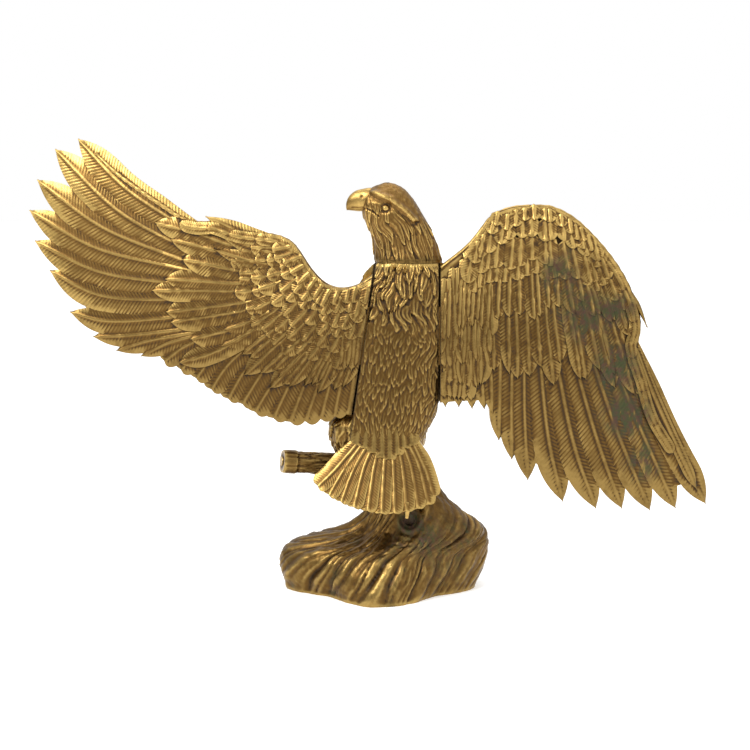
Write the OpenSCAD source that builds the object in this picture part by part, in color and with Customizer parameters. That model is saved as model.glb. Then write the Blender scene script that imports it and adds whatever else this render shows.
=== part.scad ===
// Spread-winged eagle on a tree stump, cast in brass in several pieces.
// The eagle faces +Y, so -Y is its back. +Z is up and the base rests on Z = 0.

/* [Stump] */
// Half width of the base, along X
base_rx = 61; // [56:1:66]
// Half depth of the base, along Y
base_ry = 46; // [42:1:50]
// Height of the trunk's top
trunk_h = 78; // [76:1:80]
// Wall thickness of the hollow casting
stump_wall = 5; // [4:0.5:5.5]
// Depth of the gaps between the roots, as a share of the base's radius
root_gap = 0.24; // [0.1:0.02:0.3]
// Radius of the round knot hole
knot_r = 5.2; // [4:0.1:6]

/* [Branch] */
// Reach of the branch's cut end from the middle of the base
branch_reach = 59; // [54:1:62]
// Radius of the branch
branch_r = 6.5; // [5.5:0.1:7]

/* [Wings] */
// Thickness of a wing out at the feathers
blade_t = 3.4; // [3:0.1:4.5]
// Extra thickness where a wing meets the body
root_t = 9.5; // [8.5:0.5:10]
// Gap between a wing and the body
seam_gap = 0.3; // [0.2:0.05:0.5]
// Height of the tongue that carries a wing
tongue_h = 34; // [30:1:38]
// Thickness of the tongue
tongue_t = 6; // [5:0.5:6]
// Depth of the tongue in the wing, and in the body
tongue_l = 13; // [12:0.5:14]
// Clearance round the tongue in the body's pocket
tongue_gap = 0.3; // [0.2:0.05:0.5]

/* [Body] */
// How far the breast stands out in front of the middle of the feet
breast_y = 25; // [22:1:28]
// Thickness of the tail fan
tail_t = 4; // [3:0.5:5]
// Radius of the stud that holds the head
neck_stud_r = 3; // [2.5:0.1:4]
// Radius of the studs in the legs
leg_stud_r = 2; // [1.5:0.1:2]

/* [Hidden] */
$fn = 48;

BRASS = [0.62, 0.47, 0.22];
WING_BRASS = [0.70, 0.54, 0.26];
STUMP_BRASS = [0.50, 0.39, 0.20];
STEEL = [0.62, 0.63, 0.65];

// The bird's own heights start this far below the base.
bird_z = -12;
perch_z = trunk_h - bird_z;

// Wing roots: the left seam leans, the right one is upright.
left_seam_top = [-4.8, 203];
left_seam_low = [-17.5, 119];
right_seam_x = 33.3;
wing_back_y = -18;
wing_mid_y = wing_back_y + (blade_t + root_t) / 2;
bay_front_y = 1.2;
tongue_z = 166;
left_tongue_x = -9.7;
screw_r = 1.6;
screw_head_r = 2.8;
screw_dz = 10;
screw_out = 8;

// Leading edges, from the shoulder out to the first primary's tip.
left_lead = [[-5, 202], [-14, 196], [-24, 194], [-33, 197], [-41, 205], [-47, 214], [-53, 221],
             [-63, 225], [-83, 227.5], [-94, 233], [-104, 236], [-109, 232], [-128, 242],
             [-153, 259], [-171, 275]];
left_tips = [[-180, 280], [-194, 274], [-205, 256], [-210, 238], [-207, 220], [-198, 202.5],
             [-186, 178]];
left_notches = [[-180, 269], [-188, 253.5], [-197, 237.5], [-200.5, 222.5], [-194, 203.5],
                [-180, 180], [-173, 166]];
left_trail = [[-166, 159], [-158, 155.5], [-143, 152.5], [-132, 153], [-128, 149.5], [-119, 145],
              [-110, 140], [-101, 133.5], [-91, 128], [-82.5, 125], [-75, 120.5], [-64, 117],
              [-54, 115.3], [-41, 115.5], [-29, 119.5], [-17.8, 120]];
right_lead = [[33.6, 205.2], [50.5, 219.5], [63, 234.5], [71, 239], [79, 241], [90, 241.5],
              [101, 240.5], [115, 233], [131, 217], [143, 200], [151, 185], [158, 171.5],
              [156.5, 167.5], [151, 163], [151, 155], [158, 140], [166, 117], [179, 96], [190, 75.5]];
right_tips = [[197.5, 60.5], [178.5, 58.5], [162.5, 57.7], [145, 59.5], [129, 60], [108.5, 65],
              [87, 79]];
right_notches = [[178, 68.5], [165, 66], [146, 68], [136.5, 65], [110, 73], [94, 81.5], [82.5, 91.5]];
right_trail = [[78, 92.5], [75.5, 103], [69, 104], [67.5, 113], [65, 125], [60, 123], [55.5, 125],
               [52.8, 123.3], [48.5, 127], [45, 124.4], [41.8, 129], [37, 124.6], [33.6, 125]];

// A feather tip followed by the notch under it, for every primary.
function teeth(tips, notches) = [for (i = [0:len(tips) - 1]) each [tips[i], notches[i]]];

left_outline = concat(left_lead, teeth(left_tips, left_notches), left_trail);
right_outline = concat(right_lead, teeth(right_tips, right_notches), right_trail);

// Middle surface of each wing: convex towards the back, swept forward at the tip.
left_axis = [-0.91, 0.41];
left_root = [-12, 160];
sweep = 0.0006;
function left_u(x, z) = (x - left_root[0]) * left_axis[0] + (z - left_root[1]) * left_axis[1];
function left_v(x, z) = (x - left_root[0]) * left_axis[1] - (z - left_root[1]) * left_axis[0];
function left_mid_y(x, z) = let (u = left_u(x, z), v = left_v(x, z))
    wing_mid_y + sweep * pow(max(u, 0), 2) + (v > 0 ? 0.0022 : 0.0009) * v * v;
function right_mid_y(x, z) =
    wing_mid_y + sweep * pow(max(x - right_seam_x, 0), 2)
    + (z > 150 ? 0.0019 : 0.0007) * pow(z - 150, 2);
function wing_t(d) = blade_t + root_t * exp(-pow(d / 42, 2));

// Body: limits to the left, right, back and breast by height.
torso_low = 98;
torso_top = 208;
torso_left = [[98, -17], [106, -22], [118, -25], [135, -26], [160, -23], [180, -19], [196, -13],
              [208, -5]];
torso_right = [[98, 20], [106, 25], [118, 32], [135, 38], [160, 42], [180, 43], [196, 41],
               [208, 36.5]];
torso_back = [[98, -24], [110, -25], [135, -24], [165, -22], [190, -21], [208, -17]];
torso_front = [[98, -23], [106, -15], [118, -9], [135, -4], [160, 0], [180, -1], [196, -5],
               [208, -11]];

// Head and neck: limits by height, then sections of the beak from its root to its tip.
neck_x = 15;
neck_y = 0;
neck_l = 14;
head_top = 254.5;
head_left = [[208, -5], [214, -5], [221, -5.5], [227, -7], [233, -9], [240, -9.5], [246, -8.5],
             [250, -5.5], [254, 1]];
head_right = [[208, 36.5], [214, 33.5], [221, 31.5], [227, 29], [233, 25.5], [240, 21.5],
              [246, 17.5], [250, 14.5], [254, 9]];
head_depth = [[208, 15.5], [214, 14], [221, 13], [233, 12], [240, 11.5], [246, 10], [250, 7.5],
              [254, 3]];
head_y = -1;
beak = [[-7, 240, 251, 5.5], [-10, 240, 251, 5], [-14, 239.8, 250.4, 4], [-17, 239, 248.4, 3],
        [-19.5, 238.6, 245.5, 2], [-21, 238.8, 241.5, 1]];

// Tail fan: its rim from left to right, and the lug under it.
tail_top_z = 106;
tail_rim = [[-38.5, 85], [-37, 80], [-30, 76], [-23, 72], [-14, 69.5], [-6, 67.5], [2, 66.5],
            [10.5, 67.3], [18, 68.5], [26, 70.5], [31, 74]];
lug_at = [14.5, -36.5, 62.5];

// Legs: where each foot stands, and the stud in each hip.
left_foot = [-19, 0];
right_foot = [14, 2];
left_hip = [-13, 2];
right_hip = [14, -3];
hip_low = 93;
hip_l = 18;
right_stud_l = 20;
left_stud_l = 8;
thigh_r = [[90, 6], [95, 9], [100, 12], [106, 13], [112, 12.5], [118, 10]];

// Stump: limits to the left, right, near and far sides by height.
stump_left = [[0, -0.95], [8, -1.02], [16, -1.03], [24, -0.97], [28, -0.82], [32, -0.48],
              [38, -0.27], [46, -0.16], [58, -0.15], [78, -0.13]];
stump_right = [[0, 0.92], [8, 0.96], [18, 1.02], [30, 1.04], [36, 1.02], [42, 0.91], [49, 0.72],
               [56, 0.6], [66, 0.5], [78, 0.41]];
stump_near = [[0, -1], [8, -1], [18, -0.92], [28, -0.76], [38, -0.58], [48, -0.46], [60, -0.36],
              [78, -0.3]];
stump_far = [[0, 0.93], [8, 0.96], [20, 0.92], [34, 0.74], [46, 0.56], [60, 0.46], [78, 0.42]];
lobe_h = 52;
cavity_top = trunk_h - 13;
knot_at = [16, -19, 46];

// Branch: from inside the trunk to the cut end, which points to the left and back.
branch_in = [4, 4, trunk_h - 7];
branch_out = [-branch_reach, -14, trunk_h - 1];
spigot_r = 4;

// Solid skin over a stack of closed rings that all have the same number of points.
module skin(rings) {
    n = len(rings[0]);
    m = len(rings);
    polyhedron(
        [for (r = rings) each r],
        [[for (i = [0:n - 1]) i],
         [for (i = [n - 1:-1:0]) (m - 1) * n + i],
         for (k = [0:m - 2], i = [0:n - 1])
             let (j = (i + 1) % n) each [[k * n + i, (k + 1) * n + i, (k + 1) * n + j],
                                         [k * n + i, (k + 1) * n + j, k * n + j]]],
        convexity = 6);
}

function span(a, b, n) = [for (i = [0:n]) a + (b - a) * i / n];

// Egg-shaped ring at height z between two limits in X and two in Y.
function oval(z, xl, xr, y0, y1, n, p = 2) = [for (i = [0:n - 1])
    let (a = 360 * i / n, c = cos(a), s = sin(a))
    [(xl + xr) / 2 + (xr - xl) / 2 * sign(c) * pow(abs(c), 2 / p),
     (y0 + y1) / 2 + (y1 - y0) / 2 * sign(s) * pow(abs(s), 2 / p), z]];

// Straight interpolation in a table, softened over a few millimetres.
function ease(z, table, d) = (lookup(z - d, table) + 2 * lookup(z, table) + lookup(z + d, table)) / 4;

// Ring of an upright curved sheet: up its front face, then down its back one.
function sheet_ring(x, zs, back, front) = concat(
    [for (i = [0:len(zs) - 1]) [x, front[i], zs[i]]],
    [for (i = [len(zs) - 1:-1:0]) [x, back[i], zs[i]]]);
function left_ring(x, zs) = sheet_ring(x, zs,
    [for (z = zs) left_mid_y(x, z) - wing_t(left_u(x, z)) / 2],
    [for (z = zs) left_mid_y(x, z) + wing_t(left_u(x, z)) / 2]);
function right_ring(x, zs) = sheet_ring(x, zs,
    [for (z = zs) right_mid_y(x, z) - wing_t(x - right_seam_x) / 2],
    [for (z = zs) right_mid_y(x, z) + wing_t(x - right_seam_x) / 2]);

module on_bird() { translate([0, 0, bird_z]) children(); }

// Outline in X and Z, drawn through the whole depth.
module outline_prism(outline) {
    translate([0, 90, 0]) rotate([90, 0, 0]) linear_extrude(180) polygon(outline);
}

// Tongue block at a seam, reaching both ways along X.
module tongue(x_mid, grow) {
    translate([x_mid - tongue_l - grow, wing_mid_y - tongue_t / 2 - grow,
               tongue_z - tongue_h / 2 - grow])
        cube([2 * (tongue_l + grow), tongue_t + 2 * grow, tongue_h + 2 * grow]);
}

// Two screws through the front of a wing into its tongue.
module screws(x) {
    front = wing_mid_y + tongue_t / 2 + 1.2;
    for (dz = [-screw_dz, screw_dz]) translate([x, 0, tongue_z + dz]) rotate([-90, 0, 0]) {
        translate([0, 0, wing_mid_y]) cylinder(r = screw_r, h = front - wing_mid_y);
        translate([0, 0, front]) cylinder(r = screw_head_r, h = 1.6);
    }
}

left_screw_x = left_tongue_x - screw_out;
right_screw_x = right_seam_x + screw_out;

module left_wing_casting() {
    color(WING_BRASS) on_bird() difference() {
        intersection() {
            outline_prism(left_outline);
            skin([for (x = span(-212, -2, 42)) left_ring(x, span(112, 283, 30))]);
        }
        tongue(left_tongue_x, 0);
        screws(left_screw_x);
        screw_mouths(left_screw_x);
    }
}

module right_wing_casting() {
    color(WING_BRASS) on_bird() difference() {
        intersection() {
            outline_prism(right_outline);
            skin([for (x = span(32, 199, 36)) right_ring(x, span(56, 243, 34))]);
        }
        tongue(right_seam_x, 0);
        screws(right_screw_x);
        screw_mouths(right_screw_x);
    }
}

// Open ends of the screw holes in the front of a wing.
module screw_mouths(x) {
    for (dz = [-screw_dz, screw_dz]) translate([x, wing_mid_y + tongue_t / 2 + 2, tongue_z + dz])
        rotate([-90, 0, 0]) cylinder(r = screw_head_r, h = 12);
}

module wing_tongue(x_mid, screw_x) {
    color(STEEL) on_bird() difference() {
        tongue(x_mid, 0);
        screws(screw_x);
    }
}

module left_wing_tongue() { wing_tongue(left_tongue_x, left_screw_x); }
module right_wing_tongue() { wing_tongue(right_seam_x, right_screw_x); }
module left_tongue_screws() { color(STEEL) on_bird() screws(left_screw_x); }
module right_tongue_screws() { color(STEEL) on_bird() screws(right_screw_x); }

module torso_solid() {
    skin([for (z = span(torso_low, torso_top, 20))
        oval(z, ease(z, torso_left, 4), ease(z, torso_right, 4), ease(z, torso_back, 4),
             ease(z, torso_front, 4) + breast_y, 36, 2.4)]);
}

// Room for a wing root at the left back corner of the body, and at the right one.
module left_bay() {
    lean = (left_seam_top - left_seam_low) / (left_seam_top[1] - left_seam_low[1]);
    s = [seam_gap, 0];
    translate([0, bay_front_y, 0]) rotate([90, 0, 0]) linear_extrude(45)
        polygon([left_seam_low + s - 30 * lean, left_seam_top + s + 10 * lean, [-60, 213], [-60, 89]]);
}

module right_bay() {
    translate([right_seam_x, -40, 80]) cube([60, 40 + bay_front_y, 160]);
}

module torso_casting() {
    color(BRASS) on_bird() difference() {
        torso_solid();
        left_bay();
        right_bay();
        tongue(left_tongue_x, tongue_gap);
        tongue(right_seam_x, tongue_gap);
        tail_tongue();
        neck_hole();
        thigh_hole(left_hip);
        thigh_hole(right_hip);
    }
}

module neck_hole() {
    translate([neck_x, neck_y, torso_top - neck_l]) cylinder(r = neck_stud_r, h = 2 * neck_l);
}

module thigh_hole(hip) {
    translate([hip[0], hip[1], hip_low]) cylinder(r = leg_stud_r, h = hip_l);
}

module foot_hole(foot, down) {
    translate([foot[0], foot[1], perch_z - down]) cylinder(r = leg_stud_r, h = down + 7.5);
}

module head_casting() {
    color(BRASS) on_bird() difference() {
        union() {
            skin([for (z = span(torso_top, head_top, 14))
                oval(z, ease(z, head_left, 1), ease(z, head_right, 1), head_y - ease(z, head_depth, 1),
                     head_y + ease(z, head_depth, 1), 32)]);
            skin([for (b = [beak[5], beak[4], beak[3], beak[2], beak[1], beak[0]])
                [for (i = [0:15]) let (a = 360 * i / 16)
                    [b[0], head_y + b[3] * cos(a), (b[1] + b[2]) / 2 + (b[2] - b[1]) / 2 * sin(a)]]]);
        }
        neck_hole();
    }
}

module tail_tongue() { translate([-11, -22.5, 98]) cube([26, 5, 14]); }

function tail_y(x, z) = -20 - 0.42 * (tail_top_z - z) + 0.003 * x * x;

module tail_casting() {
    zs = span(62, 100, 12);
    color(BRASS) on_bird() union() {
        intersection() {
            outline_prism(concat([[19, torso_low], [-16, torso_low]], tail_rim));
            skin([for (x = span(-42, 34, 19)) sheet_ring(x, zs,
                [for (z = zs) tail_y(x, z) - tail_t / 2], [for (z = zs) tail_y(x, z) + tail_t / 2])]);
        }
        tail_tongue();
        translate(lug_at) cylinder(r = 1.8, h = 8);
    }
}

// Toe that leaves the foot at angle a and curls over a round perch of radius grip.
module toe(a, grip) {
    reach = 15;
    rotate([0, 0, a]) skin([for (k = [0:6]) let (t = k / 6, r = 3 - 2 * t, turn = reach * t / (grip + 3),
        c = cos(turn * 180 / PI), s = sin(turn * 180 / PI), out = grip + r)
        [for (i = [0:11]) let (b = 30 * i, m = out + r * sin(b)) [m * s, r * cos(b), m * c - grip]]]);
}

// Feathered thigh and a foot with three toes in front and one behind.
module leg(foot, hip, grip) {
    color(BRASS) on_bird() difference() {
        union() {
            skin([for (z = span(perch_z + 0.5, 118, 10)) let (r = ease(z, thigh_r, 1))
                oval(z, foot[0] - r, foot[0] + r, foot[1] - r, foot[1] + 1.1 * r, 24)]);
            for (a = [45, 90, 135, 270]) translate([foot[0], foot[1], perch_z + 0.8]) toe(a, grip);
        }
        torso_solid();
        thigh_hole(hip);
        foot_hole(foot, 1);
        translate([0, 0, -bird_z]) branch_solid();
    }
}

module left_leg_casting() { leg(left_foot, left_hip, branch_r + 1); }
module right_leg_casting() { leg(right_foot, right_hip, 200); }

module neck_stud() { color(STEEL) on_bird() neck_hole(); }
module left_thigh_stud() { color(STEEL) on_bird() thigh_hole(left_hip); }
module right_thigh_stud() { color(STEEL) on_bird() thigh_hole(right_hip); }
module left_foot_stud() { color(STEEL) on_bird() foot_hole(left_foot, left_stud_l); }
module right_foot_stud() { color(STEEL) on_bird() foot_hole(right_foot, right_stud_l); }

// Ring of the stump at height z, pulled in by d all round, with gaps between its roots.
function stump_ring(z, d) = let (
    depth = root_gap * max(0, 1 - z / lobe_h),
    xl = base_rx * ease(z, stump_left, 3) + d, xr = base_rx * ease(z, stump_right, 3) - d,
    y0 = base_ry * ease(z, stump_near, 3) + d, y1 = base_ry * ease(z, stump_far, 3) - d)
    [for (i = [0:47]) let (a = 7.5 * i, f = 1 - depth * (1 - cos(4 * a)) / 2)
        [(xl + xr) / 2 + f * (xr - xl) / 2 * cos(a), (y0 + y1) / 2 + f * (y1 - y0) / 2 * sin(a), z]];

module stump_casting() {
    color(STUMP_BRASS) difference() {
        skin(concat([for (z = span(cavity_top, 0, 15)) stump_ring(z, stump_wall)], stump_rings()));
        translate(knot_at) rotate([90, 0, 0]) cylinder(r = knot_r, h = 12, $fn = 12);
        branch_spigot();
        on_bird() foot_hole(right_foot, right_stud_l);
    }
}

// Tapered branch along its own axis, from inside the trunk to the cut end.
module branch_solid() {
    along = branch_out - branch_in;
    turn = atan2(along[1], along[0]);
    tilt = acos(along[2] / norm(along));
    translate(branch_in) rotate([0, tilt, turn])
        skin([for (t = span(0, 1, 8)) let (r = branch_r * (1.12 - 0.12 * t))
            [for (i = [0:15]) let (a = 22.5 * i) [r * cos(a), r * sin(a), t * norm(along)]]]);
}

module branch_spigot() {
    along = branch_out - branch_in;
    translate(branch_in) rotate([0, acos(along[2] / norm(along)), atan2(along[1], along[0])])
        translate([0, 0, 3]) cylinder(r = spigot_r, h = 16, $fn = 8);
}

function stump_rings() = [for (z = concat(span(0, 60, 15), [66, 72, trunk_h])) stump_ring(z, 0)];

module stump_solid() { skin(stump_rings()); }

module perch_branch() {
    color(STUMP_BRASS) union() {
        difference() {
            branch_solid();
            stump_solid();
            on_bird() foot_hole(left_foot, left_stud_l);
        }
        branch_spigot();
    }
}

module foot_washer() {
    color(STEEL) difference() {
        translate([right_foot[0], right_foot[1], cavity_top - 1]) cylinder(r = 4.5, h = 1);
        on_bird() foot_hole(right_foot, right_stud_l);
    }
}

module foot_nut() {
    color(STEEL) difference() {
        translate([right_foot[0], right_foot[1], cavity_top - 4.2]) cylinder(r = 4, h = 3.2, $fn = 6);
        on_bird() foot_hole(right_foot, right_stud_l);
    }
}

stump_casting();
perch_branch();
torso_casting();
head_casting();
tail_casting();
left_leg_casting();
right_leg_casting();
left_wing_casting();
right_wing_casting();
left_wing_tongue();
right_wing_tongue();
left_tongue_screws();
right_tongue_screws();
neck_stud();
left_thigh_stud();
right_thigh_stud();
left_foot_stud();
right_foot_stud();
foot_washer();
foot_nut();
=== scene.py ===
import math

import bpy
import numpy as np
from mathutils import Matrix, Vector


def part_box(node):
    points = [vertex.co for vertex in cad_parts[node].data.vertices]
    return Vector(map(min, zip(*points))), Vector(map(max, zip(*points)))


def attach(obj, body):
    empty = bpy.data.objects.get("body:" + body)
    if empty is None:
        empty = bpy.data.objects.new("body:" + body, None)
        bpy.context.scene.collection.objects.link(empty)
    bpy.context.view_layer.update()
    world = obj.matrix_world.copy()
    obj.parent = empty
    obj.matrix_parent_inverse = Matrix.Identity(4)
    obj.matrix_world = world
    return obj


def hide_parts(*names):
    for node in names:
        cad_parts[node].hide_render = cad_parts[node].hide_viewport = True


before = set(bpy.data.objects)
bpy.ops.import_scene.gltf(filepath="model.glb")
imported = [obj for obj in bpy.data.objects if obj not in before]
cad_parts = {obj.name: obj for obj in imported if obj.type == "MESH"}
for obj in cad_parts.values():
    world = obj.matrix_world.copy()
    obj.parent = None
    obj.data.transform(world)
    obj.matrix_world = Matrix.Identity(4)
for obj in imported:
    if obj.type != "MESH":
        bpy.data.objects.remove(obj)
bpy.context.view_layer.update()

bl_info = {
    "name": "Cast brass eagle",
    "version": (1, 0, 0),
    "blender": (4, 5, 0),
    "location": "3D View > Sidebar > Eagle",
    "description": "Feathered castings, bark, finishes and studio for a brass eagle on a stump",
    "category": "Object",
}

# Shapes are drawn in millimetres. The bird is drawn 12 mm above its place on the stump.
MM = 0.001
BIRD_Z = -12.0


# ---- small tools

def ease(value, table):
    """Smooth value from a table of (place, value) pairs, flat beyond its ends."""
    places, values = np.array(table, float).T
    smooth = np.zeros_like(np.asarray(value, float))
    for shift, share in ((-3.0, 0.25), (0.0, 0.5), (3.0, 0.25)):
        smooth = smooth + share * np.interp(np.asarray(value) + shift, places, values)
    return smooth


def bump(distance, width):
    """Bell-shaped rise, 1 at distance 0."""
    return np.exp(-(distance / width) ** 2)


def step(x, low, high):
    """0 below low, 1 above high and smooth between."""
    t = np.clip((x - low) / (high - low), 0, 1)
    return t * t * (3 - 2 * t)


def lattice(cells, seed):
    """Repeatable random value from 0 to 1 for each whole-number cell."""
    mixed = cells.astype(np.int64) @ np.array([73856093, 19349663, 83492791]) + seed * 2654435
    mixed = (mixed ^ (mixed >> 13)) * 1274126177
    return ((mixed ^ (mixed >> 16)) & 0xFFFF) / 65535.0


def noise(points, size, seed=0):
    """Smooth noise from -1 to 1 at points (n, 3), with lumps of about the given size."""
    scaled = points / size
    cell = np.floor(scaled)
    part = scaled - cell
    part = part * part * (3 - 2 * part)
    total = 0.0
    for corner in np.ndindex(2, 2, 2):
        share = np.prod(np.where(corner, part, 1 - part), axis=-1)
        total = total + share * lattice(cell + corner, seed)
    return total * 2 - 1


def spline(points, count):
    """Points spaced evenly along a smooth curve through the given ones."""
    p = np.array(points, float)
    ends = np.vstack([2 * p[0] - p[1], p, 2 * p[-1] - p[-2]])
    t = np.linspace(0, 1, 12, endpoint=False)[:, None]
    pieces = []
    for a, b, c, d in zip(ends, ends[1:], ends[2:], ends[3:]):
        pieces.append(0.5 * (2 * b + (c - a) * t + (2 * a - 5 * b + 4 * c - d) * t ** 2
                             + (3 * b - a - 3 * c + d) * t ** 3))
    fine = np.vstack(pieces + [p[-1:]])
    along = np.concatenate([[0], np.cumsum(np.linalg.norm(np.diff(fine, axis=0), axis=1))])
    wanted = np.linspace(0, along[-1], count)
    return np.stack([np.interp(wanted, along, fine[:, k]) for k in range(p.shape[1])], axis=1)


def tangents(curve):
    """Unit direction at each point of a curve."""
    d = np.gradient(curve, axis=0)
    return d / np.linalg.norm(d, axis=1, keepdims=True)


def circle(count):
    """Angles spaced evenly round a circle."""
    return np.linspace(0, 2 * np.pi, count, endpoint=False)


# ---- solids from grids

def outward(points, quads):
    """Quads turned so that the closed solid has a positive volume."""
    a, b, c, d = (points[quads[:, k]] for k in range(4))
    volume = np.einsum("ij,ij->", a, np.cross(b, c)) + np.einsum("ij,ij->", a, np.cross(c, d))
    return quads if volume > 0 else quads[:, ::-1]


def slab(front, back):
    """Closed solid between two grids of points that have the same rows and columns."""
    rows, columns, _ = front.shape
    a = np.arange(rows * columns).reshape(rows, columns)
    b = a + rows * columns
    rim = np.concatenate([a[0, :-1], a[:-1, -1], a[-1, :0:-1], a[:0:-1, 0]])
    ahead = np.roll(rim, -1)
    quads = np.concatenate([
        np.stack([a[:-1, :-1], a[1:, :-1], a[1:, 1:], a[:-1, 1:]], -1).reshape(-1, 4),
        np.stack([b[:-1, :-1], b[:-1, 1:], b[1:, 1:], b[1:, :-1]], -1).reshape(-1, 4),
        np.stack([rim, ahead, ahead + rows * columns, rim + rows * columns], -1)])
    points = np.concatenate([front.reshape(-1, 3), back.reshape(-1, 3)])
    return points, outward(points, quads)


def drum(rings):
    """Closed solid over a stack of rings (rows, columns, 3), capped at both ends."""
    rows, columns, _ = rings.shape
    points = np.concatenate([rings.reshape(-1, 3), rings[0].mean(0)[None], rings[-1].mean(0)[None]])
    a = np.arange(rows * columns).reshape(rows, columns)
    b = np.roll(a, -1, axis=1)
    quads = np.stack([a[:-1], a[1:], b[1:], b[:-1]], -1).reshape(-1, 4)
    low, high = rows * columns, rows * columns + 1
    caps = [np.stack([a[0], b[0], np.full(columns, low), np.full(columns, low)], -1),
            np.stack([b[-1], a[-1], np.full(columns, high), np.full(columns, high)], -1)]
    return points, outward(points, np.concatenate([quads] + caps))


def tube(path, radii, columns=24, rows=24, relief=None):
    """Round solid along a path of (x, y, z) points, with a radius at each and maybe relief(t, a)."""
    line = spline(path, rows)
    ahead = tangents(line)
    radius = spline([(r, 0) for r in radii], rows)[:, 0]
    side = np.cross(ahead, [0.0, 0.0, 1.0])
    flip = np.linalg.norm(side, axis=1) < 0.2
    side[flip] = np.cross(ahead[flip], [0.0, 1.0, 0.0])
    side /= np.linalg.norm(side, axis=1, keepdims=True)
    for k in range(1, rows):
        if side[k] @ side[k - 1] < 0:
            side[k] = -side[k]
    up = np.cross(side, ahead)
    a = circle(columns)
    reach = radius[:, None] * np.ones(columns)
    if relief is not None:
        reach = reach + relief(np.linspace(0, 1, rows)[:, None], a[None, :])
    rings = (line[:, None] + side[:, None] * (reach * np.cos(a))[..., None]
             + up[:, None] * (reach * np.sin(a))[..., None])
    return drum(rings)


def block(low, high, lean=0.0):
    """Six-sided block, with its top slid along X by lean."""
    x0, y0, z0 = low
    x1, y1, z1 = high
    near = np.array([[[x0, y0, z0], [x1, y0, z0]], [[x0 + lean, y0, z1], [x1 + lean, y0, z1]]], float)
    return slab(near, near + [0, y1 - y0, 0])


def raw_mesh(name, solid, lift=0.0):
    """Blender mesh in metres from a solid in millimetres."""
    points, quads = solid
    faces = [list(dict.fromkeys(q)) for q in quads.tolist()]
    mesh = bpy.data.meshes.new(name)
    mesh.from_pydata(((points + [0, 0, lift]) * MM).tolist(), [], faces)
    mesh.validate()
    return mesh


CREASE_DEG = 50


def cast(name, solids, cuts, lift=BIRD_Z, depth=1.0):
    """One closed casting: the union of some solids, less the cuts.

    Depth is how deep its relief is, which sets how dark its grooves and how bright its ridges are.
    """
    objects = [bpy.data.objects.new(f"{name}_{i}", raw_mesh(name, s, lift))
               for i, s in enumerate(solids + cuts)]
    for obj in objects:
        bpy.context.scene.collection.objects.link(obj)
    base = objects[0]
    groups = [("UNION", objects[1:len(solids)]), ("DIFFERENCE", objects[len(solids):])]
    folders = []
    for operation, members in groups:
        if not members:
            continue
        folder = bpy.data.collections.new(f"{name}_{operation}")
        bpy.context.scene.collection.children.link(folder)
        folders.append(folder)
        for obj in members:
            folder.objects.link(obj)
        modifier = base.modifiers.new(operation, "BOOLEAN")
        modifier.solver = "MANIFOLD"
        modifier.operation = operation
        modifier.operand_type = "COLLECTION"
        modifier.collection = folder
    bpy.context.view_layer.update()
    evaluated = base.evaluated_get(bpy.context.evaluated_depsgraph_get())
    mesh = bpy.data.meshes.new_from_object(evaluated)
    mesh.name = name
    for obj in objects:
        bpy.data.objects.remove(obj)
    for folder in folders:
        bpy.data.collections.remove(folder)
    if not len(mesh.polygons):
        raise RuntimeError(f"{name}: the castings did not join")
    piece = bpy.data.objects.new(name, mesh)
    bpy.context.scene.collection.objects.link(piece)
    mark_relief(mesh, depth)
    mesh.set_sharp_from_angle(angle=math.radians(CREASE_DEG))
    return piece


# Rounds of smoothing, and the height in millimetres that counts as full relief.
FINE_ROUNDS, BROAD_ROUNDS = 4, 24
FINE_FULL, BROAD_FULL = 0.12, 0.35


def mark_relief(mesh, depth):
    """Store how far each point stands out of its surroundings, for the wear, the dirt and painted shade in
    the hollows, and the patina.
    """
    count = len(mesh.vertices)
    points = np.empty(count * 3)
    normals = np.empty(count * 3)
    mesh.vertices.foreach_get("co", points)
    mesh.vertices.foreach_get("normal", normals)
    points, normals = points.reshape(-1, 3) / MM, normals.reshape(-1, 3)
    edges = np.empty(len(mesh.edges) * 2, int)
    mesh.edges.foreach_get("vertices", edges)
    a, b = edges.reshape(-1, 2).T
    degree = np.maximum(np.bincount(a, minlength=count) + np.bincount(b, minlength=count), 1)

    def around(values):
        """Mean over each point's neighbours."""
        total = np.bincount(a, values[b], count) + np.bincount(b, values[a], count)
        return total / degree

    level = points
    for turn in range(1, BROAD_ROUNDS + 1):
        level = np.stack([0.5 * level[:, k] + 0.5 * around(level[:, k]) for k in range(3)], 1)
        if turn == FINE_ROUNDS:
            fine = np.einsum("ij,ij->i", points - level, normals)
    coarse = np.einsum("ij,ij->i", points - level, normals)
    for label, values, full in (("fine_relief", fine, FINE_FULL), ("broad_relief", coarse, BROAD_FULL)):
        values = 0.5 * values + 0.5 * around(values)
        layer = mesh.attributes.new(label, "FLOAT", "POINT")
        layer.data.foreach_set("value", np.clip(0.5 + 0.5 * values / (full * depth), 0, 1))


# ---- feathers

# Spacing of the barbs, thickness of a wing at its tip and what its root adds, and the reach
# and the middle of that thickness. The left wing turns by WING_TURN, (cosine, sine).
BARB = 2.1
ROWS_PER_BARB = 3
TIP_THICK, ROOT_EXTRA, ROOT_REACH = 3.4, 9.5, 42.0
WING_MID_Y = -18 + (TIP_THICK + ROOT_EXTRA) / 2
WING_TURN = (0.91, 0.41)
# How far the left seam leans sideways for each millimetre of height.
SEAM_LEAN = 12.7 / 84


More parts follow.
